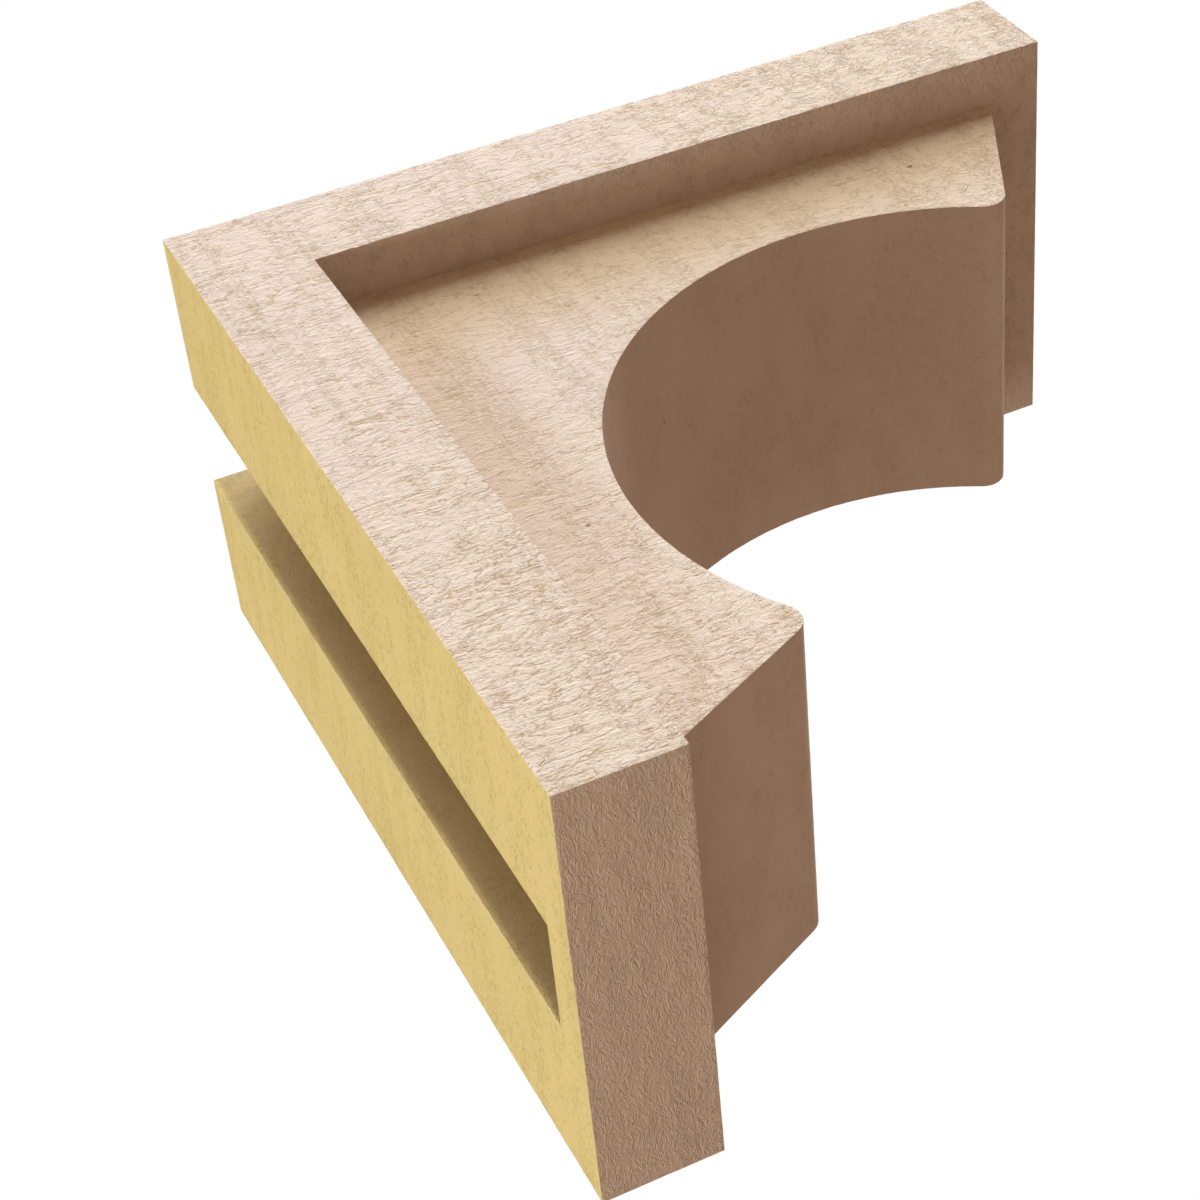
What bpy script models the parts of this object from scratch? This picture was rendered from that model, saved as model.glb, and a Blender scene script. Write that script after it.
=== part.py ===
"""A timber-look corbel: two equal legs at a right angle, with a scooped brace between them.

The corbel is cast in one piece of rigid foam, so it is one object. It stands here as it is
installed: the wall leg hangs down the wall, the top leg reaches out from it, and the corner
where they meet is at the top. Metres, +Z up. The back lies in the plane Y = 0 and the corbel
reaches towards -Y. The origin is on the back, in the middle of the solid strip that is left
below the slot.

Outlines are drawn in a plane of two distances: out, from the wall, and drop, from the top.
"""

import math

import bmesh
import bpy
from mathutils import Vector

# The bracket's three outer sizes, and the thickness that both legs share.
WIDTH = 0.1524
LEG_LENGTH = 0.3048
LEG_THICKNESS = 0.0381

# The brace is narrower than the legs. Each of its ends is a straight cut that leans by this
# much sideways for each metre of height, on a line through the outer corner of its leg's end.
BRACE_INSET = 0.01905
BRACE_END_LEAN = 0.5

# The round scoop, with its centre equally far from the wall and from the top.
SCOOP_RADIUS = 0.1106
SCOOP_CENTRE = 0.1885
TIP_RADIUS = 0.0076

# The slot in the back takes a wall cleat. It is open at the top and closed at the bottom.
SLOT_WIDTH = 0.0381
SLOT_DEPTH = 0.01905
SLOT_END_WALL = 0.01524

# The origin is halfway down the strip between the slot's closed end and the leg's lower end.
TOP_Z = LEG_LENGTH - SLOT_END_WALL / 2

# How far the brace's outline goes into the legs, and the slot's cutter out of them.
EMBED = LEG_THICKNESS / 2
CUTTER_MARGIN = 0.01

# Straight pieces that make up half of the scoop, and each rounded tip.
HALF_SCOOP_STEPS = 22
TIP_STEPS = 9
SMOOTH_BELOW = math.radians(30)

# Turns a drawing's plane upright: its x runs out from the wall, and its y down from the top.
UPRIGHT = (math.radians(-90), 0, math.radians(-90))

TIMBER_FINISH = (0.62, 0.46, 0.33, 1)
BARE_FOAM = (0.69, 0.55, 0.21, 1)


def clear_scene():
    for obj in list(bpy.data.objects):
        bpy.data.objects.remove(obj, do_unlink=True)


def new_collection(name):
    collection = bpy.data.collections.new(name)
    bpy.context.scene.collection.children.link(collection)
    return collection


def make_material(name, colour, roughness):
    material = bpy.data.materials.new(name)
    material.use_nodes = True
    shader = material.node_tree.nodes["Principled BSDF"]
    shader.inputs["Base Color"].default_value = colour
    shader.inputs["Roughness"].default_value = roughness
    shader.inputs["Metallic"].default_value = 0
    return material


def arc(centre, radius, start, end, steps):
    """Points (out, drop) along an arc, both ends included."""
    turn = (end - start) / steps
    return [
        (
            centre[0] + radius * math.cos(start + turn * step),
            centre[1] + radius * math.sin(start + turn * step),
        )
        for step in range(steps + 1)
    ]


def tip_centre():
    """Where the rounding of the upper tip turns: it touches the brace's end and the scoop."""
    along_normal = math.hypot(1, BRACE_END_LEAN)
    # The end's line, moved into the brace by the tip's radius: out = start - lean * drop.
    start = LEG_LENGTH - TIP_RADIUS * along_normal
    reach = SCOOP_RADIUS + TIP_RADIUS
    # Where that line is this far from the scoop's centre is a quadratic in drop.
    a = along_normal**2
    b = -2 * (SCOOP_CENTRE + BRACE_END_LEAN * (start - SCOOP_CENTRE))
    c = SCOOP_CENTRE**2 + (start - SCOOP_CENTRE) ** 2 - reach**2
    drop = (-b - math.sqrt(b * b - 4 * a * c)) / (2 * a)
    return start - BRACE_END_LEAN * drop, drop


def leg_outline():
    return [
        (0, 0),
        (LEG_LENGTH, 0),
        (LEG_LENGTH, LEG_THICKNESS),
        (LEG_THICKNESS, LEG_THICKNESS),
        (LEG_THICKNESS, LEG_LENGTH),
        (0, LEG_LENGTH),
    ]


def brace_outline():
    """The brace, mirrored about the diagonal, from inside the corner and round by both tips."""
    tip = tip_centre()
    out_of_end = math.atan2(BRACE_END_LEAN, 1)
    to_scoop = math.atan2(SCOOP_CENTRE - tip[1], SCOOP_CENTRE - tip[0])
    to_tip = to_scoop - math.pi
    to_corner = math.radians(-135)
    centre = (SCOOP_CENTRE, SCOOP_CENTRE)
    upper_half = [(LEG_LENGTH - BRACE_END_LEAN * EMBED, EMBED)]
    upper_half += arc(tip, TIP_RADIUS, out_of_end, to_scoop, TIP_STEPS)
    upper_half += arc(centre, SCOOP_RADIUS, to_tip, to_corner, HALF_SCOOP_STEPS)[1:]
    lower_half = [(drop, out) for out, drop in reversed(upper_half[:-1])]
    return [(EMBED, EMBED)] + upper_half + lower_half


def extruded(name, outline, width, collection, materials):
    """A mesh object of this width, centred on X = 0, from a closed outline of (out, drop)."""
    curve = bpy.data.curves.new(name + "_outline", "CURVE")
    curve.dimensions = "2D"
    curve.fill_mode = "BOTH"
    curve.extrude = width / 2
    spline = curve.splines.new("POLY")
    spline.points.add(len(outline) - 1)
    for point, (out, drop) in zip(spline.points, outline):
        point.co = (out, drop, 0, 1)
    spline.use_cyclic_u = True

    drawing = bpy.data.objects.new(name + "_outline", curve)
    drawing.location = (0, 0, TOP_Z)
    drawing.rotation_euler = UPRIGHT
    collection.objects.link(drawing)
    bpy.context.view_layer.update()
    evaluated = drawing.evaluated_get(bpy.context.evaluated_depsgraph_get())
    mesh = bpy.data.meshes.new_from_object(evaluated)
    mesh.name = name
    weld_caps(mesh)
    mesh.shade_smooth()
    mesh.set_sharp_from_angle(angle=SMOOTH_BELOW)
    mesh.materials.clear()
    for material in materials:
        mesh.materials.append(material)

    solid = bpy.data.objects.new(name, mesh)
    solid.matrix_world = drawing.matrix_world
    collection.objects.link(solid)
    bpy.data.objects.remove(drawing, do_unlink=True)
    return solid


def weld_caps(mesh):
    """Joins the loose caps of an extruded outline to its sides."""
    cage = bmesh.new()
    cage.from_mesh(mesh)
    bmesh.ops.remove_doubles(cage, verts=cage.verts, dist=0.00001)
    bmesh.ops.recalc_face_normals(cage, faces=cage.faces)
    cage.to_mesh(mesh)
    cage.free()


def make_helper(obj):
    obj.hide_render = True
    obj.display_type = "WIRE"


def add_boolean(obj, operation, operand):
    boolean = obj.modifiers.new(operand.name, "BOOLEAN")
    boolean.operation = operation
    boolean.solver = "EXACT"
    boolean.object = operand


def make_legs(parts, materials):
    """Both legs as one body, with bare foam on the back, where the cast was open."""
    legs = extruded("corbel", leg_outline(), WIDTH, parts, materials)
    back = legs.matrix_world.to_3x3().inverted() @ Vector((0, 1, 0))
    for face in legs.data.polygons:
        face.material_index = int(face.normal.dot(back) > 0.9)
    return legs


def make_brace(helpers, materials):
    width = WIDTH - 2 * BRACE_INSET
    brace = extruded("brace", brace_outline(), width, helpers, materials)
    make_helper(brace)
    return brace


def make_slot_cutter(helpers, materials):
    """A block as wide and deep as the slot that stands out of the back and of the top."""
    depth = SLOT_DEPTH + CUTTER_MARGIN
    height = LEG_LENGTH - SLOT_END_WALL + CUTTER_MARGIN
    bpy.ops.mesh.primitive_cube_add(size=1)
    cutter = bpy.context.object
    cutter.name = "slot_cutter"
    for collection in list(cutter.users_collection):
        collection.objects.unlink(cutter)
    helpers.objects.link(cutter)
    cutter.scale = (SLOT_WIDTH, depth, height)
    bpy.ops.object.transform_apply(location=False, rotation=False, scale=True)
    middle_y = CUTTER_MARGIN - depth / 2
    middle_z = TOP_Z + CUTTER_MARGIN - height / 2
    cutter.location = (0, middle_y, middle_z)
    for material in materials:
        cutter.data.materials.append(material)
    for face in cutter.data.polygons:
        face.material_index = 1
    make_helper(cutter)
    return cutter


def main():
    clear_scene()
    parts = new_collection("timber_look_corbel")
    helpers = new_collection("helpers")
    materials = [
        make_material("timber_finish", TIMBER_FINISH, 0.85),
        make_material("bare_foam", BARE_FOAM, 0.9),
    ]
    corbel = make_legs(parts, materials)
    add_boolean(corbel, "UNION", make_brace(helpers, materials))
    add_boolean(corbel, "DIFFERENCE", make_slot_cutter(helpers, materials))


main()
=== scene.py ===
"""The looks of a timber-look corbel: a foam casting with a rough-sawn finish and a bare back.

The casting is one piece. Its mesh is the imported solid's own faces, filled with fine cells and
pressed in by a shallow relief, so it keeps the solid's form and stays inside its box. Metres,
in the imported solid's frame: the back lies at the box's high Y and the top at its high Z, and
X runs across the width. The sawn grain runs along Y on the two sides and along X elsewhere.
"""

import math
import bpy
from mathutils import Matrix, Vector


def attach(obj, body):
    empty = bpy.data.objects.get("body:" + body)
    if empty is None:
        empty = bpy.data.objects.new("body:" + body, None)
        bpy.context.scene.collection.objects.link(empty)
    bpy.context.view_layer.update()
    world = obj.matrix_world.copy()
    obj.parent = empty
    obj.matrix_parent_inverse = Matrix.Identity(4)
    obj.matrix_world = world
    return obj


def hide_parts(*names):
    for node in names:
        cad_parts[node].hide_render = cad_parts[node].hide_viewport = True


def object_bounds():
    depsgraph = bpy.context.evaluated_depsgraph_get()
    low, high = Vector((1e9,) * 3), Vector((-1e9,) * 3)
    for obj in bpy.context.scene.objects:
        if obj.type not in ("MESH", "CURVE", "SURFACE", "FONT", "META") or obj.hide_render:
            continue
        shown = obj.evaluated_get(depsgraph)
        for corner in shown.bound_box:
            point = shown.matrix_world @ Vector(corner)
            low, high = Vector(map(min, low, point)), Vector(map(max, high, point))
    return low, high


bl_info = {
    "name": "Timber-look corbel",
    "version": (1, 0, 0),
    "blender": (4, 5, 0),
    "location": "3D View > Sidebar > Corbel",
    "description": "Finishes a cast foam corbel as rough-sawn timber with a bare foam back",
    "category": "Object",
}

from types import SimpleNamespace

import bmesh
import bpy
import numpy as np
from bpy.props import FloatProperty, FloatVectorProperty, PointerProperty
from mathutils import Vector, noise
from mathutils.geometry import delaunay_2d_cdt

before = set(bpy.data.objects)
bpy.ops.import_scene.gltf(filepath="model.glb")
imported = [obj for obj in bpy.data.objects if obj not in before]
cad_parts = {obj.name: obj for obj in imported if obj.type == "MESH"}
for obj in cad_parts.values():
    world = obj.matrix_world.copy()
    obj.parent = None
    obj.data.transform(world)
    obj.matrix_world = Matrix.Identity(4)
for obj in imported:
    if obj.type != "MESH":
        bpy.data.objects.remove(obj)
CAD_LOW, CAD_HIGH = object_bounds()

NODE = "corbel"
BODY = "root"

# Places on the solid: the scoop's centre from the wall and from the top, its radius, how far
# its straight pieces lie inside its arc at most, the slot in the back, and the wall that
# closes the slot at the leg's lower end.
SCOOP_CENTRE = 0.1885
SCOOP_RADIUS = 0.1106
SCOOP_SAG = 0.0001
SLOT_HALF_WIDTH = 0.01905
SLOT_DEPTH = 0.01905
LEG_END_WALL = 0.01524

# A finish or a painted shade changes between the two places of each of these pairs. The first pair
# is on the step from the brace's sides out to the legs', as distances from the middle of the width.
OUT_TO_LEGS = 0.060, 0.074

# Along Y: to the top leg's front end, up to the wall leg, where the painted shade beside it
# grows, onto it, and out to the back.
TO_FRONT_END = -0.10, -0.28
TO_WALL_LEG = -0.090, -0.048
ONTO_WALL_LEG = -0.044, -0.040
OUT_TO_BACK = -0.0022, -0.0006

# Along Z: to the wall leg's low end, up to the top leg, where the painted shadow under it grows,
# onto it, up to the slot's mouth, where the painted shade in the slot thins out, and out to the
# top.
TOP = CAD_HIGH.z
TO_LOW_END = 0.20, 0.0
TO_TOP_LEG = TOP - 0.105, TOP - 0.055
ONTO_TOP_LEG = TOP - 0.044, TOP - 0.040
TO_SLOT_MOUTH = TOP - 0.07, TOP
OUT_TO_TOP = TOP - 0.0015, TOP - 0.0005

# The casting's finishes, in the order of its material slots.
FINISH_COUNT = 4
SAWN_SIDE, END_FACE, CAST_FACE, BARE_FOAM = range(FINISH_COUNT)

X_AXIS = Vector((1, 0, 0))
Y_AXIS = Vector((0, 1, 0))
WHITE = (1, 1, 1)

# The specular level of every finish: dull foam.
MATT_SPECULAR = 0.2

# Points nearer to each other than this are one point. Faces that turn by less than FLAT_BELOW
# are one flat face, and edges that turn by more than SHARP_ABOVE are sharp. A face looks along
# an axis if its normal reaches more than FACES_ALONG_AXIS that way.
WELD = 0.00001
FLAT_BELOW = math.radians(1)
SHARP_ABOVE = math.radians(30)
FACES_ALONG_AXIS = 0.7

# The least distance of a cell's point from its face's rim, and how near points are one point
# while a face is filled, both in cells. The fill keeps only the triangles inside the rim.
CLEAR_OF_RIM = 0.55
FILL_WELD = 1e-6
FILL_INSIDE = 1

# The casting has to have fewer triangles than this.
TRIANGLE_LIMIT = 200000

SENSOR_WIDTH = 36


class CorbelRelief(bpy.types.PropertyGroup):
    """Sizes of the cells and the relief that the finish presses into the casting."""

    cell_along: FloatProperty(
        name="Cell along the grain",
        description="Length of a mesh cell along the sawn grain",
        default=0.0026,
        unit="LENGTH",
    )
    cell_across: FloatProperty(
        name="Cell across the grain",
        description="Width of a mesh cell across the sawn grain",
        default=0.00125,
        unit="LENGTH",
    )
    foam_cell: FloatProperty(
        name="Cell on bare foam",
        description="Size of a mesh cell on the smoother bare foam",
        default=0.0025,
        unit="LENGTH",
    )
    edge_cell: FloatProperty(
        name="Cell along edges",
        description="Spacing of the points along every edge",
        default=0.0018,
        unit="LENGTH",
    )
    edge_radius: FloatProperty(
        name="Edge radius",
        description="Rounding of the casting's outer edges",
        default=0.00025,
        unit="LENGTH",
    )
    groove_depth: FloatProperty(
        name="Groove depth",
        description="Depth of the torn grooves on the sawn sides",
        default=0.00028,
        unit="LENGTH",
    )
    end_depth: FloatProperty(
        name="End relief depth",
        description="Depth of the pebbled relief on the legs' ends",
        default=0.00025,
        unit="LENGTH",
    )
    cast_depth: FloatProperty(
        name="Cast relief depth",
        description="Depth of the soft ripple on the smoother timber faces",
        default=0.00012,
        unit="LENGTH",
    )
    foam_depth: FloatProperty(
        name="Foam relief depth",
        description="Depth of the soft unevenness of the bare foam",
        default=0.00012,
        unit="LENGTH",
    )


class CorbelFinish(bpy.types.PropertyGroup):
    """Colours of the casting's four finishes, and of the painted shade on some of its faces."""

    sawn_pale: FloatVectorProperty(
        name="Sawn side, pale",
        description="Colour of the sawn fibres that stand up",
        subtype="COLOR",
        size=4,
        default=(0.685, 0.625, 0.582, 1),
    )
    sawn_warm: FloatVectorProperty(
        name="Sawn side, warm",
        description="Colour of the warmer patches on the sawn sides",
        subtype="COLOR",
        size=4,
        default=(0.725, 0.66, 0.58, 1),
    )
    sawn_groove: FloatVectorProperty(
        name="Sawn side, groove",
        description="Colour down in the torn grooves",
        subtype="COLOR",
        size=4,
        default=(0.46, 0.345, 0.205, 1),
    )
    # Painted shade: the brace's sides darkened close beside the wall leg, where shade falls in the
    # corner.
    sawn_wall_leg_shade: FloatVectorProperty(
        name="Sawn side, by the wall leg",
        description="Colour of the brace's sides close beside the wall leg",
        subtype="COLOR",
        size=4,
        default=(0.585, 0.487, 0.395, 1),
    )
    # Painted shadow: the brace's sides darkened and yellowed close under the top leg, where its
    # step casts shade.
    sawn_top_leg_shade: FloatVectorProperty(
        name="Sawn side, by the top leg",
        description="Colour of the brace's sides close under the top leg",
        subtype="COLOR",
        size=4,
        default=(0.645, 0.535, 0.385, 1),
    )
    # Painted shade: the sides' timber paint made darker and browner, as the legs' ends lie in
    # shade.
    end_shaded: FloatVectorProperty(
        name="End face, pale",
        description="Colour of the legs' ends",
        subtype="COLOR",
        size=4,
        default=(0.54, 0.42, 0.32, 1),
    )
    # Painted shade: the sides' timber paint made darker and browner for the faces that lie in
    # shade.
    cast_shaded: FloatVectorProperty(
        name="Cast face, pale",
        description="Colour of the timber faces at a right angle to the sides",
        subtype="COLOR",
        size=4,
        default=(0.56, 0.44, 0.36, 1),
    )
    cast_dark: FloatVectorProperty(
        name="Cast face, dark",
        description="Colour of the streaks and pits in those faces",
        subtype="COLOR",
        size=4,
        default=(0.30, 0.23, 0.16, 1),
    )
    foam: FloatVectorProperty(
        name="Bare foam",
        description="Colour of the bare foam on the back and in the slot",
        subtype="COLOR",
        size=4,
        default=(0.57, 0.47, 0.20, 1),
    )
    foam_streak: FloatVectorProperty(
        name="Foam streak",
        description="Colour of the faint streaks in the bare foam",
        subtype="COLOR",
        size=4,
        default=(0.27, 0.22, 0.06, 1),
    )
    # Painted shade: the bare foam darkened and greyed where it lies in shade inside the slot.
    slot_shaded_foam: FloatVectorProperty(
        name="Foam in the slot",
        description="Colour of the greyer foam inside the slot",
        subtype="COLOR",
        size=4,
        default=(0.42, 0.335, 0.20, 1),
    )
    pit: FloatVectorProperty(
        name="Pit",
        description="Colour at the bottom of small pits",
        subtype="COLOR",
        size=4,
        default=(0.10, 0.065, 0.04, 1),
    )


class CorbelStage(bpy.types.PropertyGroup):
    """The camera, the lights and the floor."""

    camera_place: FloatVectorProperty(
        name="Camera place",
        description="Where the camera stands: low, on the left and a little behind the back",
        subtype="TRANSLATION",
        default=(-0.53069, 0.16445, -0.48306),
    )
    camera_turn: FloatVectorProperty(
        name="Camera turn",
        description="The camera's rotation",
        subtype="EULER",
        default=tuple(math.radians(angle) for angle in (143.1702, 26.7871, -86.262)),
    )
    focal_length: FloatProperty(
        name="Focal length",
        description="The camera's focal length in millimetres, on a 36 mm sensor",
        default=83.61,
    )
    sideways_shift: FloatProperty(
        name="Sideways shift",
        description="How far the lens is moved sideways, as a share of the picture's width",
        default=-0.1,
    )
    floor_drop: FloatProperty(
        name="Floor drop",
        description="How far the floor lies below the corbel",
        default=1.8,
        unit="LENGTH",
    )
    floor_size: FloatProperty(
        name="Floor size",
        description="Length of the floor's sides",
        default=12.0,
        unit="LENGTH",
    )
    floor_glow: FloatProperty(
        name="Floor glow",
        description="How much the floor glows, so that it stays pale far from the lights",
        default=0.55,
    )
    light_distance: FloatProperty(
        name="Light distance",
        description="How far the lights stand from the corbel",
        default=4.0,
        unit="LENGTH",
    )
    key_power: FloatProperty(
        name="Key light",
        description="Power in watts of the large light above on the left",
        default=274,
    )
    back_power: FloatProperty(
        name="Back light",
        description="Power in watts of the light on the bare back",
        default=131,
    )
    low_power: FloatProperty(
        name="Low lights",
        description="Power in watts of the weak light below the back. The front one has a quarter",
        default=5,
    )
    low_colour: FloatVectorProperty(
        name="Low lights' colour",
        description="Colour of the weak lights below",
        subtype="COLOR",
        default=(1.0, 0.88, 0.76),
    )
    fill_power: FloatProperty(
        name="Fill light",
        description="Power in watts of the light above on the right, in front",
        default=100,
    )
    surround: FloatVectorProperty(
        name="Surround",
        description="Colour and strength of the light from all round",
        subtype="COLOR",
        size=4,
        default=(0.355, 0.238, 0.160, 1),
    )


class CorbelSettings(bpy.types.PropertyGroup):
    """All of the corbel's settings."""

    relief: PointerProperty(type=CorbelRelief)
    finish: PointerProperty(type=CorbelFinish)
    stage: PointerProperty(type=CorbelStage)


class Graph:
    """Adds nodes to a shader tree. A value given to one is a constant, or the socket it reads."""

    def __init__(self, tree):
        self.tree = tree

    def add(self, kind, values=(), **settings):
        """A node with these settings, and these (input, value) pairs."""
        node = self.tree.nodes.new(kind)
        for name, setting in settings.items():
            setattr(node, name, setting)
        for key, value in values:
            self.set(node.inputs[key], value)
        return node

    def set(self, socket, value):
        """Links the socket to the one that is given, or sets it to a constant."""
        if isinstance(value, bpy.types.NodeSocket):
            self.tree.links.new(value, socket)
        else:
            socket.default_value = value

    def maths(self, operation, first, second=0.0, clamp=False):
        pairs = ((0, first), (1, second))
        node = self.add("ShaderNodeMath", pairs, operation=operation, use_clamp=clamp)
        return node.outputs[0]

    def vector_maths(self, operation, first, second):
        node = self.add("ShaderNodeVectorMath", ((0, first), (1, second)), operation=operation)
        return node.outputs[0]

    def noise(self, vector, detail=2.0, roughness=0.5, scale=1.0):
        pairs = (
            ("Vector", vector),
            ("Scale", scale),
            ("Detail", detail),
            ("Roughness", roughness),
        )
        return self.add("ShaderNodeTexNoise", pairs)

    def step(self, value, start, end, at_start=0.0, at_end=1.0):
        """Goes smoothly from at_start to at_end while the value goes from start to end."""
        pairs = ((0, value), (1, start), (2, end), (3, at_start), (4, at_end))
        node = self.add("ShaderNodeMapRange", pairs, interpolation_type="SMOOTHSTEP")
        return node.outputs[0]

    def between(self, mask, at_none, at_full):
        """One value where the mask is 0, and the other where it is 1."""
        return self.step(mask, 0.0, 1.0, at_none, at_full)

    def mix(self, factor, first, second):
        pairs = ((0, factor), (6, first), (7, second))
        node = self.add("ShaderNodeMix", pairs, data_type="RGBA")
        return node.outputs[2]


def new_group(name, inputs, outputs):
    """An empty shader group. inputs are (name, socket type, default), outputs (name, type)."""
    tree = bpy.data.node_groups.new(name, "ShaderNodeTree")
    for label, kind, default in inputs:
        socket = tree.interface.new_socket(label, in_out="INPUT", socket_type=kind)
        socket.default_value = default
    for label, kind in outputs:
        tree.interface.new_socket(label, in_out="OUTPUT", socket_type=kind)
    graph = Graph(tree)
    return graph, graph.add("NodeGroupInput").outputs, graph.add("NodeGroupOutput").inputs


def make_crust_group():
    """A crumbly crust: uneven plates, cracks where some of them tore apart, and small specks."""
    softness, sunk_depth = 0.06, 0.35
    graph, given, out = new_group(
        "crust",
        (
            ("Position", "NodeSocketVector", (0, 0, 0)),
            ("Plate Size", "NodeSocketVector", (0.004, 0.004, 0.004)),
            ("Waviness", "NodeSocketFloat", 0.6),
            ("Crack Width", "NodeSocketFloat", 0.03),
            ("Wholeness", "NodeSocketFloat", 0.5),
        ),
        (
            ("Crack", "NodeSocketFloat"),
            ("Speck", "NodeSocketFloat"),
            ("Height", "NodeSocketFloat"),
        ),
    )
    cell = graph.vector_maths("DIVIDE", given["Position"], given["Plate Size"])
    sway = graph.noise(cell, 0.0, 0.5, 0.5).outputs["Color"]
    sway = graph.vector_maths("SUBTRACT", sway, (0.5, 0.5, 0.5))
    amount = graph.add("ShaderNodeCombineXYZ", [(axis, given["Waviness"]) for axis in range(3)])
    sway = graph.vector_maths("MULTIPLY", sway, amount.outputs[0])
    cell = graph.vector_maths("ADD", cell, sway)
    level = graph.noise(cell, 3.0, 0.62).outputs[0]
    away = graph.maths("ABSOLUTE", graph.maths("SUBTRACT", level, 0.5))
    tear = graph.noise(cell, 1.0, 0.5, 0.8).outputs[0]
    low = graph.maths("SUBTRACT", given["Wholeness"], softness)
    high = graph.maths("ADD", given["Wholeness"], softness)
    tear = graph.step(tear, low, high)
    crack = graph.step(away, 0.0, given["Crack Width"], 1.0, 0.0)
    crack = graph.maths("MULTIPLY", crack, tear)
    graph.set(out["Crack"], crack)
    crumbs = graph.noise(cell, 2.0, 0.7, 2.3).outputs[0]
    speck = graph.step(crumbs, 0.45, 0.38)
    speck = graph.maths("MULTIPLY", speck, graph.between(tear, 0.3, 1.0))
    graph.set(out["Speck"], speck)
    height = graph.maths("ADD", graph.step(away, 0.0, 0.16), graph.maths("MULTIPLY", crumbs, 0.9))
    for sunk in (crack, speck):
        height = graph.maths("SUBTRACT", height, graph.maths("MULTIPLY", sunk, sunk_depth))
    graph.set(out["Height"], height)
    return graph.tree


def make_patch_group():
    """Soft patches, for slow changes of colour and of roughness."""
    graph, given, out = new_group(
        "soft_patches",
        (
            ("Position", "NodeSocketVector", (0, 0, 0)),
            ("Patch Size", "NodeSocketVector", (0.05, 0.05, 0.05)),
            ("Contrast", "NodeSocketFloat", 0.3),
        ),
        (("Patch", "NodeSocketFloat"),),
    )
    cell = graph.vector_maths("DIVIDE", given["Position"], given["Patch Size"])
    level = graph.noise(cell, 3.0, 0.55).outputs[0]
    half = graph.maths("MULTIPLY", given["Contrast"], 0.5)
    low = graph.maths("SUBTRACT", 0.5, half)
    high = graph.maths("ADD", 0.5, half)
    graph.set(out["Patch"], graph.step(level, low, high))
    return graph.tree


def make_pit_group():
    """Small scattered pits. Share is how many of the cells have one."""
    graph, given, out = new_group(
        "pits",
        (
            ("Position", "NodeSocketVector", (0, 0, 0)),
            ("Cell Size", "NodeSocketVector", (0.01, 0.01, 0.01)),
            ("Radius", "NodeSocketFloat", 0.15),
            ("Share", "NodeSocketFloat", 0.3),
        ),
        (("Pit", "NodeSocketFloat"),),
    )
    cell = graph.vector_maths("DIVIDE", given["Position"], given["Cell Size"])
    ragged = graph.noise(cell, 2.0, 0.6, 4.0).outputs["Color"]
    ragged = graph.vector_maths("MULTIPLY", ragged, (0.2, 0.2, 0.2))
    cell = graph.vector_maths("ADD", cell, ragged)
    spots = graph.add("ShaderNodeTexVoronoi", (("Vector", cell), ("Scale", 1.0)))
    near = graph.step(spots.outputs["Distance"], 0.0, given["Radius"], 1.0, 0.0)
    draw = graph.add("ShaderNodeSeparateColor", ((0, spots.outputs["Color"]),)).outputs[0]
    kept = graph.maths("LESS_THAN", draw, given["Share"])
    graph.set(out["Pit"], graph.maths("MULTIPLY", near, kept))
    return graph.tree


def make_groups():
    """The shader groups that the finishes share."""
    return {
        "crust": make_crust_group(),
        "patches": make_patch_group(),
        "pits": make_pit_group(),
    }


class Finish:
    """A new material for the casting, with its graph and the shared groups."""

    def __init__(self, name, groups):
        self.material = bpy.data.materials.new(name)
        self.material.use_nodes = True
        self.graph = Graph(self.material.node_tree)
        self.shader = self.material.node_tree.nodes["Principled BSDF"]
        self.groups = groups
        self.position = self.graph.add("ShaderNodeTexCoord").outputs["Object"]

    def effect(self, group, **values):
        """The outputs of a shared group. Underscores stand for the spaces of an input's name."""
        pairs = [("Position", self.position)]
        pairs += [(name.replace("_", " "), value) for name, value in values.items()]
        node = self.graph.add("ShaderNodeGroup", (), node_tree=self.groups[group])
        for name, value in pairs:
            self.graph.set(node.inputs[name], value)
        return node.outputs

    def tint(self, base, mask, amount, colour):
        """The base with this much of the colour where the mask is 1."""
        return self.graph.mix(self.graph.maths("MULTIPLY", mask, amount), base, tuple(colour))

    def sink(self, height, mask, depth):
        """The height, lower by this depth where the mask is 1."""
        return self.graph.maths("SUBTRACT", height, self.graph.maths("MULTIPLY", mask, depth))

    def apply(self, colour, roughness, height, bump_distance, bump_strength=1.0):
        """Puts the colour, the roughness and a bump of this height on the shader."""
        pairs = (("Height", height), ("Distance", bump_distance), ("Strength", bump_strength))
        bump = self.graph.add("ShaderNodeBump", pairs)
        self.graph.set(self.shader.inputs["Base Color"], colour)
        self.graph.set(self.shader.inputs["Roughness"], roughness)
        self.graph.set(self.shader.inputs["Normal"], bump.outputs[0])
        self.graph.set(self.shader.inputs["Specular IOR Level"], MATT_SPECULAR)
        return self.material


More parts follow.
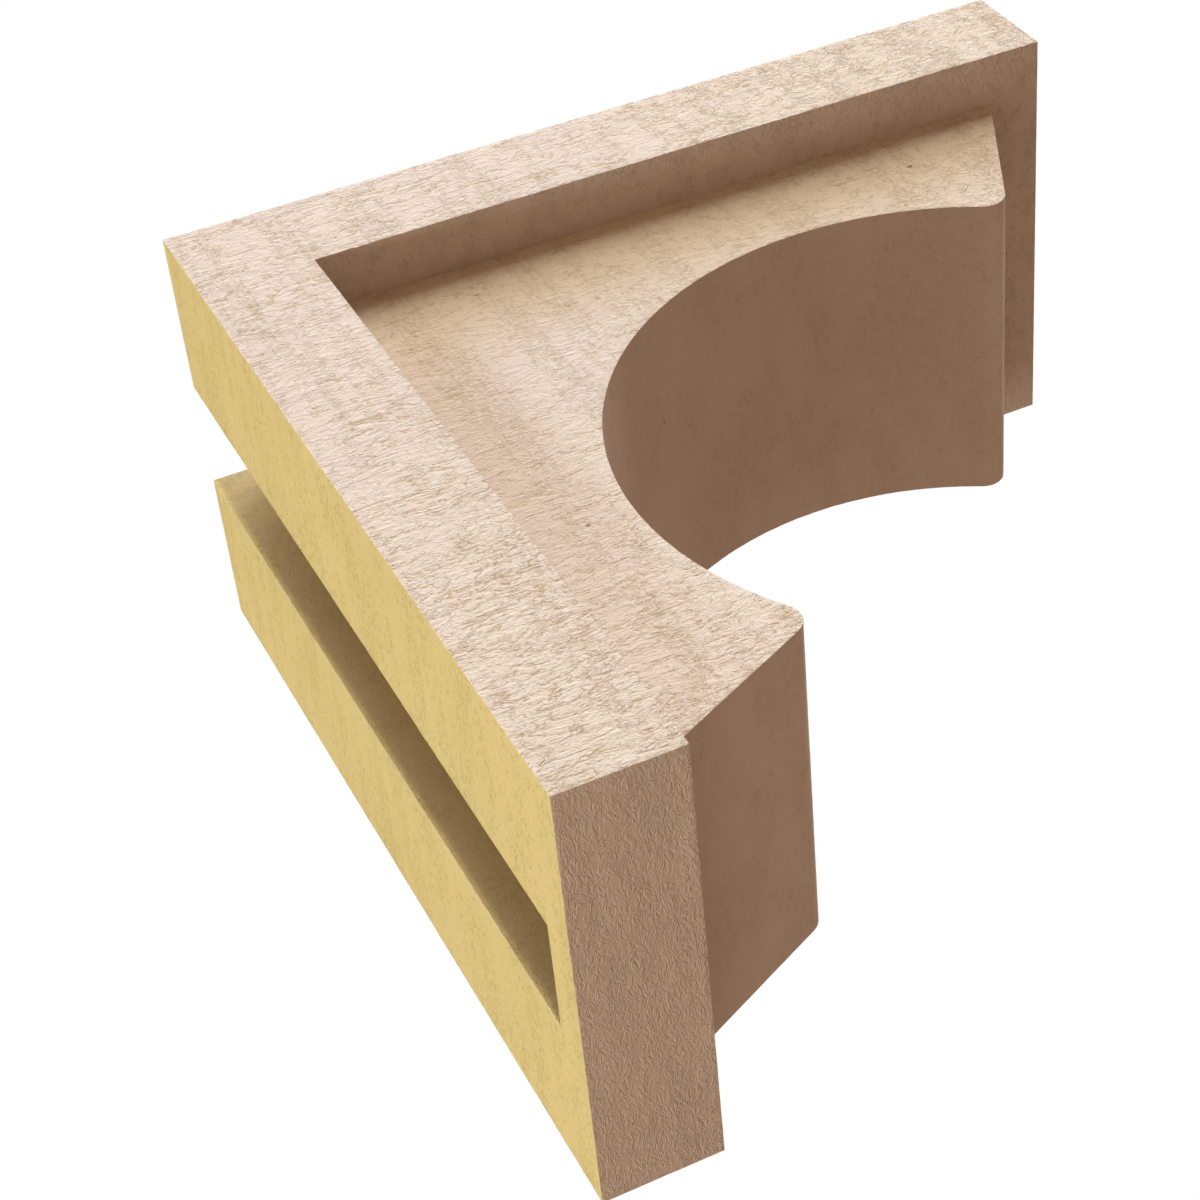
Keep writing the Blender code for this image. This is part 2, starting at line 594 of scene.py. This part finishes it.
def sawn_masks(finish):
    """Where a sawn side is set back, nears an end, lies in the painted shade beside a leg, and is
    saw-marked, warm or pitted.
    """
    graph = finish.graph
    place = graph.add("ShaderNodeSeparateXYZ", ((0, finish.position),)).outputs
    to_low_end = graph.step(place[2], *TO_LOW_END)
    to_front_end = graph.step(place[1], *TO_FRONT_END)
    # Painted shade on the brace's sides beside the wall leg, fading out towards the low end.
    wall_leg_shade = graph.step(place[1], *TO_WALL_LEG)
    wall_leg_shade = graph.maths("MULTIPLY", wall_leg_shade, graph.between(to_low_end, 1.0, 0.3))
    saw_band = finish.effect("patches", Patch_Size=(0.2, 0.009, 0.12), Contrast=0.3)["Patch"]
    saw_line = finish.effect("patches", Patch_Size=(0.2, 0.0016, 0.009), Contrast=0.12)["Patch"]
    # The saw's marks are the stronger half of the fine lines, where they cross its bands.
    saw_line = graph.maths("SUBTRACT", saw_line, 0.5, clamp=True)
    saw_line = graph.maths("MULTIPLY", saw_line, 2.0)
    return SimpleNamespace(
        recess=graph.step(graph.maths("ABSOLUTE", place[0]), *OUT_TO_LEGS, 1.0, 0.0),
        to_low_end=to_low_end,
        to_front_end=to_front_end,
        to_ends=graph.maths("MAXIMUM", to_low_end, to_front_end),
        wall_leg_shade=wall_leg_shade,
        # Painted shadow on the brace's sides under the top leg's step.
        top_leg_shade=graph.step(place[2], *TO_TOP_LEG),
        saw_band=saw_band,
        saw_mark=graph.maths("MULTIPLY", saw_line, saw_band),
        patch=finish.effect("patches", Patch_Size=(0.02, 0.035, 0.02), Contrast=0.5)["Patch"],
        pit=finish.effect("pits", Cell_Size=(0.02, 0.025, 0.02), Radius=0.06, Share=0.45)["Pit"],
    )


def sawn_tears(finish, masks):
    """The fine crumbly crust of a sawn side, and the long grain torn in it."""
    graph = finish.graph
    crust = finish.effect(
        "crust",
        Plate_Size=(0.0024, 0.0028, 0.0022),
        Waviness=1.3,
        Crack_Width=0.05,
        Wholeness=graph.between(masks.saw_band, 0.60, 0.42),
    )
    whole_grain = graph.between(masks.to_low_end, 0.51, 0.42)
    whole_grain = graph.maths("ADD", whole_grain, graph.maths("MULTIPLY", masks.recess, 0.06))
    grain = finish.effect(
        "crust",
        Plate_Size=(0.005, 0.013, 0.0042),
        Waviness=1.1,
        Crack_Width=0.030,
        Wholeness=whole_grain,
    )
    return crust, grain


def sawn_colour(finish, masks, crust, grain, colours):
    """Pale, warmer towards the ends, with painted shade on the brace's sides beside the legs, and
    darker where it is torn.
    """
    graph = finish.graph
    warm = graph.maths("ADD", graph.maths("MULTIPLY", masks.patch, 0.5), masks.to_ends, clamp=True)
    colour = graph.mix(warm, tuple(colours.sawn_pale), tuple(colours.sawn_warm))
    # Painted shade: the brace's sides darkened beside the wall leg.
    colour = finish.tint(colour, masks.recess, masks.wall_leg_shade, colours.sawn_wall_leg_shade)
    # Painted shadow: the brace's sides darkened and yellowed under the top leg.
    colour = finish.tint(colour, masks.recess, masks.top_leg_shade, colours.sawn_top_leg_shade)
    speckled = graph.between(masks.to_ends, 0.08, 0.30)
    speckled = graph.maths("ADD", speckled, graph.maths("MULTIPLY", masks.recess, 0.14))
    torn = (
        (crust["Speck"], speckled),
        (crust["Crack"], graph.between(masks.to_ends, 0.38, 0.50)),
        (grain["Crack"], 0.80),
        (masks.saw_mark, 0.22),
    )
    for mask, amount in torn:
        colour = finish.tint(colour, mask, amount, colours.sawn_groove)
    return finish.tint(colour, masks.pit, 0.9, colours.pit)


def sawn_height(finish, masks, crust, grain):
    """The long grain and the crumbs on it, which show most towards the top leg's end."""
    graph = finish.graph
    long_grain = graph.between(masks.to_front_end, 0.9, 0.4)
    crumbly = graph.between(masks.to_front_end, 0.75, 1.2)
    height = graph.maths("MULTIPLY", grain["Height"], long_grain)
    height = graph.maths("ADD", height, graph.maths("MULTIPLY", crust["Height"], crumbly))
    height = graph.maths("MULTIPLY", height, graph.between(masks.recess, 1.0, 0.8))
    height = finish.sink(height, masks.saw_mark, 0.4)
    return finish.sink(height, masks.pit, 1.0)


def make_sawn_side(groups, colours):
    """The two sides: a pale crumbly crust, torn along the grain, with saw marks across it."""
    finish = Finish("sawn_side", groups)
    masks = sawn_masks(finish)
    crust, grain = sawn_tears(finish, masks)
    colour = sawn_colour(finish, masks, crust, grain, colours)
    height = sawn_height(finish, masks, crust, grain)
    roughness = finish.graph.between(crust["Crack"], 0.82, 0.95)
    return finish.apply(colour, roughness, height, bump_distance=0.0002)


def make_end_face(groups, colours):
    """The legs' ends: pebbled, with short strokes along X and small pits, on a base colour darkened
    as painted shade.
    """
    finish = Finish("end_face", groups)
    graph = finish.graph
    pebbles = finish.effect(
        "crust",
        Plate_Size=(0.0034, 0.0019, 0.0019),
        Waviness=1.4,
        Crack_Width=0.05,
        Wholeness=0.5,
    )
    patch = finish.effect("patches", Patch_Size=(0.05, 0.008, 0.008), Contrast=0.5)["Patch"]
    pit = finish.effect("pits", Cell_Size=(0.012, 0.008, 0.008), Radius=0.10, Share=0.35)["Pit"]
    # The ends' base colour is painted shade: a darker, browner copy of the sides' paint.
    colour = finish.tint(tuple(colours.end_shaded), patch, 0.27, colours.cast_dark)
    colour = finish.tint(colour, pebbles["Speck"], 0.20, colours.cast_dark)
    colour = finish.tint(colour, pebbles["Crack"], 0.25, colours.cast_dark)
    colour = finish.tint(colour, pit, 0.5, colours.cast_dark)
    height = finish.sink(pebbles["Height"], pit, 0.5)
    roughness = graph.between(pebbles["Crack"], 0.82, 0.95)
    return finish.apply(colour, roughness, height, bump_distance=0.00011)


def make_cast_face(groups, colours):
    """The other timber faces: soft pebbles on the legs, smoother on the brace, painted shade except
    on top, which is mostly pale.
    """
    finish = Finish("cast_face", groups)
    graph = finish.graph
    place = graph.add("ShaderNodeSeparateXYZ", ((0, finish.position),)).outputs
    on_wall_leg = graph.step(place[1], *ONTO_WALL_LEG)
    on_top_leg = graph.step(place[2], *ONTO_TOP_LEG)
    on_leg = graph.maths("MAXIMUM", on_wall_leg, on_top_leg)
    wet = finish.effect("patches", Patch_Size=(0.04, 0.02, 0.02), Contrast=0.3)["Patch"]
    skin = finish.effect(
        "crust",
        Plate_Size=(0.0030, 0.0026, 0.0026),
        Waviness=1.3,
        Crack_Width=0.04,
        Wholeness=graph.between(wet, 0.64, 0.48),
    )
    pit = finish.effect("pits", Cell_Size=(0.018, 0.015, 0.015), Radius=0.06, Share=0.3)["Pit"]
    on_top = graph.step(place[2], *OUT_TO_TOP)
    # The base colour is painted shade; the top gets most of the sides' warm colour back.
    colour = finish.tint(tuple(colours.cast_shaded), on_top, 0.75, colours.sawn_warm)
    colour = finish.tint(colour, wet, 0.06, colours.cast_dark)
    colour = finish.tint(colour, skin["Speck"], 0.20, colours.cast_dark)
    colour = finish.tint(colour, skin["Crack"], 0.25, colours.cast_dark)
    colour = finish.tint(colour, pit, 0.8, colours.pit)
    soft = graph.between(on_leg, 0.3, 1.0)
    height = finish.sink(graph.maths("MULTIPLY", skin["Height"], soft), pit, 0.8)
    roughness = graph.between(wet, 0.78, 0.9)
    return finish.apply(colour, roughness, height, bump_distance=0.0002)


def make_bare_foam(groups, colours):
    """The back and the slot: yellow foam with olive specks along X, and painted shade inside the
    slot that thins out towards its mouth.
    """
    finish = Finish("bare_foam", groups)
    graph = finish.graph
    wet = finish.effect("patches", Patch_Size=(0.05, 0.012, 0.012), Contrast=0.4)["Patch"]
    broad = finish.effect("patches", Patch_Size=(0.10, 0.06, 0.06), Contrast=0.4)["Patch"]
    skin = finish.effect(
        "crust",
        Plate_Size=(0.0026, 0.0016, 0.0016),
        Waviness=1.2,
        Crack_Width=0.05,
        Wholeness=graph.between(wet, 0.66, 0.48),
    )
    place = graph.add("ShaderNodeSeparateXYZ", ((0, finish.position),)).outputs
    in_slot = graph.step(place[1], *OUT_TO_BACK, 1.0, 0.0)
    # Painted shade inside the slot, less of it towards the slot's open mouth.
    slot_shade = graph.step(place[2], *TO_SLOT_MOUTH, 0.85, 0.65)
    colour = finish.tint(tuple(colours.foam), broad, 0.08, colours.foam_streak)
    colour = finish.tint(colour, wet, 0.06, colours.foam_streak)
    colour = finish.tint(colour, in_slot, slot_shade, colours.slot_shaded_foam)
    speckled = graph.between(in_slot, 0.55, 0.35)
    colour = finish.tint(colour, skin["Speck"], speckled, colours.foam_streak)
    colour = finish.tint(colour, skin["Crack"], 0.40, colours.foam_streak)
    height = graph.maths("MULTIPLY", skin["Height"], 0.4)
    roughness = graph.between(wet, 0.78, 0.9)
    return finish.apply(colour, roughness, height, bump_distance=0.0003, bump_strength=0.8)


def rounded_cage(solid, radius):
    """The solid's flat faces as one polygon each, with the outward edges rounded."""
    cage = bmesh.new()
    cage.from_mesh(solid.data)
    bmesh.ops.remove_doubles(cage, verts=cage.verts, dist=WELD)
    bmesh.ops.dissolve_limit(cage, angle_limit=FLAT_BELOW, verts=cage.verts, edges=cage.edges)
    outward = [
        edge for edge in cage.edges if edge.is_convex and edge.calc_face_angle() > SHARP_ABOVE
    ]
    bmesh.ops.bevel(cage, geom=outward, offset=radius, segments=2, profile=0.5, affect="EDGES")
    cage.normal_update()
    return cage


def finish_of(face):
    """Which of the casting's finishes this face of the cage has."""
    middle = face.calc_center_median()
    in_slot = (
        abs(middle.x) < SLOT_HALF_WIDTH + WELD
        and middle.y > CAD_HIGH.y - SLOT_DEPTH - WELD
        and middle.z > CAD_LOW.z + LEG_END_WALL / 2
    )
    if face.normal.y > FACES_ALONG_AXIS or in_slot:
        return BARE_FOAM
    if abs(face.normal.x) > FACES_ALONG_AXIS:
        return SAWN_SIDE
    if middle.z < CAD_LOW.z + WELD or middle.y < CAD_LOW.y + WELD:
        return END_FACE
    return CAST_FACE


def axes_of(face):
    """The two directions of the cells on this face, the grain's first."""
    grain = Y_AXIS if abs(face.normal.x) > FACES_ALONG_AXIS else X_AXIS
    return grain, face.normal.cross(grain).normalized()


def cell_sizes(finish, relief):
    """The length of this finish's cells along the grain, and their width across it."""
    if finish == BARE_FOAM:
        return relief.foam_cell, relief.foam_cell
    return relief.cell_along, relief.cell_across


def distances_to_outline(points, outline):
    """Each point's distance from the outline, and whether it lies inside it."""
    ends = np.roll(outline, -1, axis=0)
    nearest = np.full(len(points), np.inf)
    inside = np.zeros(len(points), bool)
    for start, end in zip(outline, ends):
        side = end - start
        part = np.clip((points - start) @ side / (side @ side), 0, 1)
        nearest = np.minimum(nearest, np.linalg.norm(points - start - part[:, None] * side, axis=1))
        crosses = (start[1] > points[:, 1]) != (end[1] > points[:, 1])
        if start[1] != end[1]:
            at = start[0] + (points[:, 1] - start[1]) * side[0] / side[1]
            inside ^= crosses & (points[:, 0] < at)
    return nearest, inside


def lattice_inside(outline):
    """Points of a lattice with a spacing of 1 that lie well inside the outline.

    Every other row is moved along by half a space.
    """
    low, high = np.floor(outline.min(axis=0)), np.ceil(outline.max(axis=0))
    columns, rows = (np.arange(low[i], high[i] + 1) for i in range(2))
    grid = np.stack(np.meshgrid(columns, rows), axis=-1)
    grid[..., 0] += 0.5 * (grid[..., 1] % 2)
    points = grid.reshape(-1, 2)
    nearest, inside = distances_to_outline(points, outline)
    return points[inside & (nearest > CLEAR_OF_RIM)]


def plan_panels(cage, relief):
    """For each face of the cage: its axes, its cell sizes, its finish and its inner points."""
    panels = []
    for face in cage.faces:
        finish = finish_of(face)
        grain, across = axes_of(face)
        sizes = cell_sizes(finish, relief)
        frame_2d = np.array([grain / sizes[0], across / sizes[1]])
        outline = np.array([vert.co for vert in face.verts]) @ frame_2d.T
        panels.append((face, finish, grain, across, sizes, frame_2d, lattice_inside(outline)))
    return panels


def split_edges(cage, spacing):
    """Puts points on every edge, about this far apart."""
    for edge in list(cage.edges):
        cuts = round(edge.calc_length() / spacing) - 1
        if cuts > 0:
            bmesh.ops.bisect_edges(cage, edges=[edge], cuts=cuts)


def filled_mesh(cage, relief):
    """Points, triangles and each triangle's finish, with every face filled by its cells."""
    panels = plan_panels(cage, relief)
    split_edges(cage, relief.edge_cell)
    cage.verts.index_update()
    points = [tuple(vert.co) for vert in cage.verts]
    triangles, finishes = [], []
    for face, finish, grain, across, sizes, frame_2d, inner in panels:
        rim = [vert.index for vert in face.verts]
        outline = np.array([points[index] for index in rim]) @ frame_2d.T
        level = face.normal * face.normal.dot(face.verts[0].co)
        first_inner = len(points)
        for u, v in inner:
            points.append(tuple(level + grain * (u * sizes[0]) + across * (v * sizes[1])))
        flat = [Vector(pair) for pair in (*outline, *inner)]
        loop = [list(range(len(rim)))]
        _, _, cells, origins, _, _ = delaunay_2d_cdt(flat, [], loop, FILL_INSIDE, FILL_WELD)
        numbers = rim + list(range(first_inner, len(points)))
        sources = [numbers[found[0]] for found in origins]
        triangles += [tuple(sources[corner] for corner in cell) for cell in cells]
        finishes += [finish] * len(cells)
    return points, triangles, finishes


def onto_scoop(points):
    """Moves the points of the scoop's straight pieces out to its true arc."""
    centre = np.array([CAD_HIGH.y - SCOOP_CENTRE, CAD_HIGH.z - SCOOP_CENTRE])
    spoke = points[:, 1:] - centre
    reach = np.linalg.norm(spoke, axis=1)
    on_arc = (reach > SCOOP_RADIUS - SCOOP_SAG) & (reach < SCOOP_RADIUS + WELD)
    points[on_arc, 1:] = centre + spoke[on_arc] * (SCOOP_RADIUS / reach[on_arc])[:, None]


def in_cells(point, *sizes):
    """The point's place, counted in cells of these sizes along X, Y and Z."""
    return Vector([part / size for part, size in zip(point, sizes)])


def two_layers(place):
    """Noise around zero, with a second layer that is half as large and half as strong."""
    return noise.fractal(place, 1.0, 2.0, 2)


def clamped(value):
    return min(1.0, max(0.0, value))


def groove_field(place):
    """A groove's depth from 0 to 1 at a place given in fibre cells.

    Grooves run where a swaying field is near zero, and only where the surface is torn.
    """
    half_width = 0.22
    shift = 0.8 * noise.noise(place * 0.5)
    level = two_layers(place + Vector((shift, shift, shift)))
    elsewhere = Vector((7.3, 1.9, 4.4))
    torn = 0.6 + 2.0 * noise.noise(place * 0.6 + elsewhere)
    return max(0.0, 1.0 - abs(level) / half_width) * clamped(torn)


def sawn_depth(point):
    """Depth of the relief on a sawn side from 0 to 1: torn grooves on a slow unevenness."""
    groove = groove_field(in_cells(point, 0.006, 0.010, 0.0048))
    slow = 0.5 + 0.5 * noise.noise(in_cells(point, 0.05, 0.06, 0.025))
    return 0.65 * groove + 0.35 * slow


def cast_depth(point):
    """Depth of the relief on the other timber faces from 0 to 1: a fine pebbled ripple."""
    ripple = 0.5 + 0.5 * two_layers(in_cells(point, 0.009, 0.0038, 0.0038))
    slow = 0.5 + 0.5 * noise.noise(in_cells(point, 0.06, 0.03, 0.03))
    return clamped(0.7 * ripple + 0.3 * slow)


def foam_depth(point):
    """Depth of the bare foam's soft unevenness from 0 to 1."""
    return clamped(0.5 + 0.5 * two_layers(in_cells(point, 0.04, 0.014, 0.014)))


def relief_depths(points, shares, relief):
    """How far to press each point in, from its share of each finish among its triangles."""
    fields = (
        (SAWN_SIDE, sawn_depth, relief.groove_depth),
        (END_FACE, cast_depth, relief.end_depth),
        (CAST_FACE, cast_depth, relief.cast_depth),
        (BARE_FOAM, foam_depth, relief.foam_depth),
    )
    depths = np.zeros(len(points))
    for finish, field, depth in fields:
        worn = np.nonzero(shares[:, finish] > 0)[0]
        found = np.array([field(Vector(points[index])) for index in worn])
        depths[worn] += shares[worn, finish] * depth * found
    return depths


def finish_shares(count, triangles, finishes):
    """For each point, the share of its triangles that has each finish."""
    shares = np.zeros((count, FINISH_COUNT))
    for corner in range(3):
        np.add.at(shares, (triangles[:, corner], finishes), 1)
    return shares / shares.sum(axis=1, keepdims=True)


def make_casting_mesh(relief):
    """The solid's faces with their edges rounded, filled with cells and pressed in."""
    cage = rounded_cage(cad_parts[NODE], relief.edge_radius)
    points, triangles, finishes = filled_mesh(cage, relief)
    cage.free()
    points = np.array(points)
    onto_scoop(points)
    mesh = bpy.data.meshes.new("cast_corbel")
    mesh.from_pydata(points, [], triangles)
    mesh.polygons.foreach_set("material_index", finishes)
    normals = np.array([normal.vector for normal in mesh.vertex_normals])
    shares = finish_shares(len(points), np.array(triangles), np.array(finishes))
    points -= normals * relief_depths(points, shares, relief)[:, None]
    mesh.vertices.foreach_set("co", points.ravel())
    mesh.shade_smooth()
    mesh.set_sharp_from_angle(angle=SHARP_ABOVE)
    mesh.update()
    return mesh


class CORBEL_OT_casting(bpy.types.Operator):
    """Makes the casting with its relief and its four finishes, in place of the plain solid"""

    bl_idname = "corbel.casting"
    bl_label = "Make the casting"

    def execute(self, context):
        settings = context.scene.corbel
        mesh = make_casting_mesh(settings.relief)
        if len(mesh.polygons) >= TRIANGLE_LIMIT:
            raise RuntimeError(f"the casting has {len(mesh.polygons)} triangles")
        groups = make_groups()
        for make in (make_sawn_side, make_end_face, make_cast_face, make_bare_foam):
            mesh.materials.append(make(groups, settings.finish))
        casting = bpy.data.objects.new("cast_corbel", mesh)
        context.scene.collection.objects.link(casting)
        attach(casting, BODY)
        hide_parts(NODE)
        return {"FINISHED"}


def aim(obj, place, target):
    """Puts the object at a place, turned to face the target."""
    obj.location = place
    obj.rotation_euler = (Vector(target) - Vector(place)).to_track_quat("-Z", "Y").to_euler()


def add_light(name, direction, distance, size, power, colour):
    """A square area light that stands this way from the corbel's middle and faces it."""
    light = bpy.data.lights.new(name, "AREA")
    light.shape = "SQUARE"
    light.size = size
    light.energy = power
    light.color = colour
    lamp = bpy.data.objects.new(name, light)
    middle = (CAD_LOW + CAD_HIGH) / 2
    aim(lamp, middle + Vector(direction).normalized() * distance, middle)
    lamp.visible_camera = False
    bpy.context.scene.collection.objects.link(lamp)


def make_world(surround):
    """White to the camera, and a dim warm light on everything else."""
    world = bpy.data.worlds.new("white_surround")
    world.use_nodes = True
    graph = Graph(world.node_tree)
    lit = world.node_tree.nodes["Background"]
    lit.inputs["Color"].default_value = surround
    seen = graph.add("ShaderNodeBackground", (("Color", (1, 1, 1, 1)),))
    camera_ray = graph.add("ShaderNodeLightPath").outputs["Is Camera Ray"]
    pairs = ((0, camera_ray), (1, lit.outputs[0]), (2, seen.outputs[0]))
    both = graph.add("ShaderNodeMixShader", pairs)
    graph.set(world.node_tree.nodes["World Output"].inputs["Surface"], both.outputs[0])
    bpy.context.scene.world = world


def make_floor(stage):
    """A pale sheet that glows a little, so that it stays pale far from the lights."""
    place = (0, 0, CAD_LOW.z - stage.floor_drop)
    bpy.ops.mesh.primitive_plane_add(size=stage.floor_size, location=place)
    floor = bpy.context.object
    floor.name = "floor"
    # The lights are set without the floor's glow on the corbel's shaded faces.
    floor.visible_diffuse = False
    material = bpy.data.materials.new("pale_floor")
    material.use_nodes = True
    graph = Graph(material.node_tree)
    shader = material.node_tree.nodes["Principled BSDF"]
    position = graph.add("ShaderNodeTexCoord").outputs["Object"]
    cloudy = graph.noise(position, 3.0, 0.5, 0.8).outputs[0]
    pale = graph.mix(cloudy, (0.80, 0.80, 0.79, 1), (0.86, 0.86, 0.85, 1))
    graph.set(shader.inputs["Base Color"], pale)
    graph.set(shader.inputs["Roughness"], 0.9)
    graph.set(shader.inputs["Emission Color"], (0.86, 0.93, 1.0, 1))
    graph.set(shader.inputs["Emission Strength"], stage.floor_glow)
    floor.data.materials.append(material)


def make_camera(stage):
    """The camera, at the photograph's viewing angle."""
    camera = bpy.data.cameras.new("camera")
    camera.lens = stage.focal_length
    camera.sensor_width = SENSOR_WIDTH
    camera.shift_x = stage.sideways_shift
    holder = bpy.data.objects.new("camera", camera)
    holder.location = stage.camera_place
    holder.rotation_euler = stage.camera_turn
    bpy.context.scene.collection.objects.link(holder)
    bpy.context.scene.camera = holder


class CORBEL_OT_stage(bpy.types.Operator):
    """Makes the floor, the white surround, the soft lights and the camera"""

    bl_idname = "corbel.stage"
    bl_label = "Make the stage"

    def execute(self, context):
        stage = context.scene.corbel.stage
        context.scene.view_settings.view_transform = "Standard"
        make_floor(stage)
        make_world(tuple(stage.surround))
        far, near = stage.light_distance, stage.light_distance / 2
        low_colour = tuple(stage.low_colour)
        # Each light's name, direction, distance, size, power and colour.
        lights = (
            ("key", (-0.695, -0.2, 0.72), far, 1.1 * far, stage.key_power, WHITE),
            ("back", (0, 1, -0.22), far, 0.18 * far, stage.back_power, WHITE),
            ("low_back", (0, 0.65, -0.76), near, 0.4 * near, stage.low_power, low_colour),
            ("low_front", (0, -0.6, -0.8), near, 0.4 * near, stage.low_power / 4, low_colour),
            ("fill", (0.55, -0.6, 0.6), far, 0.7 * far, stage.fill_power, WHITE),
        )
        for light in lights:
            add_light(*light)
        make_camera(stage)
        return {"FINISHED"}


class CORBEL_PT_panel(bpy.types.Panel):
    """Settings and steps of the corbel"""

    bl_idname = "CORBEL_PT_panel"
    bl_label = "Corbel"
    bl_space_type = "VIEW_3D"
    bl_region_type = "UI"
    bl_category = "Corbel"

    def draw(self, context):
        settings = context.scene.corbel
        for group in (settings.relief, settings.finish, settings.stage):
            box = self.layout.box()
            for name in group.__annotations__:
                box.prop(group, name)
        for operator in (CORBEL_OT_stage, CORBEL_OT_casting):
            self.layout.operator(operator.bl_idname)


CLASSES = (
    CorbelRelief,
    CorbelFinish,
    CorbelStage,
    CorbelSettings,
    CORBEL_OT_stage,
    CORBEL_OT_casting,
    CORBEL_PT_panel,
)


def register():
    for cls in CLASSES:
        bpy.utils.register_class(cls)
    bpy.types.Scene.corbel = PointerProperty(type=CorbelSettings)


def unregister():
    del bpy.types.Scene.corbel
    for cls in reversed(CLASSES):
        bpy.utils.unregister_class(cls)


def main():
    register()
    bpy.ops.corbel.stage()
    bpy.ops.corbel.casting()


if __name__ == "__main__":
    main()
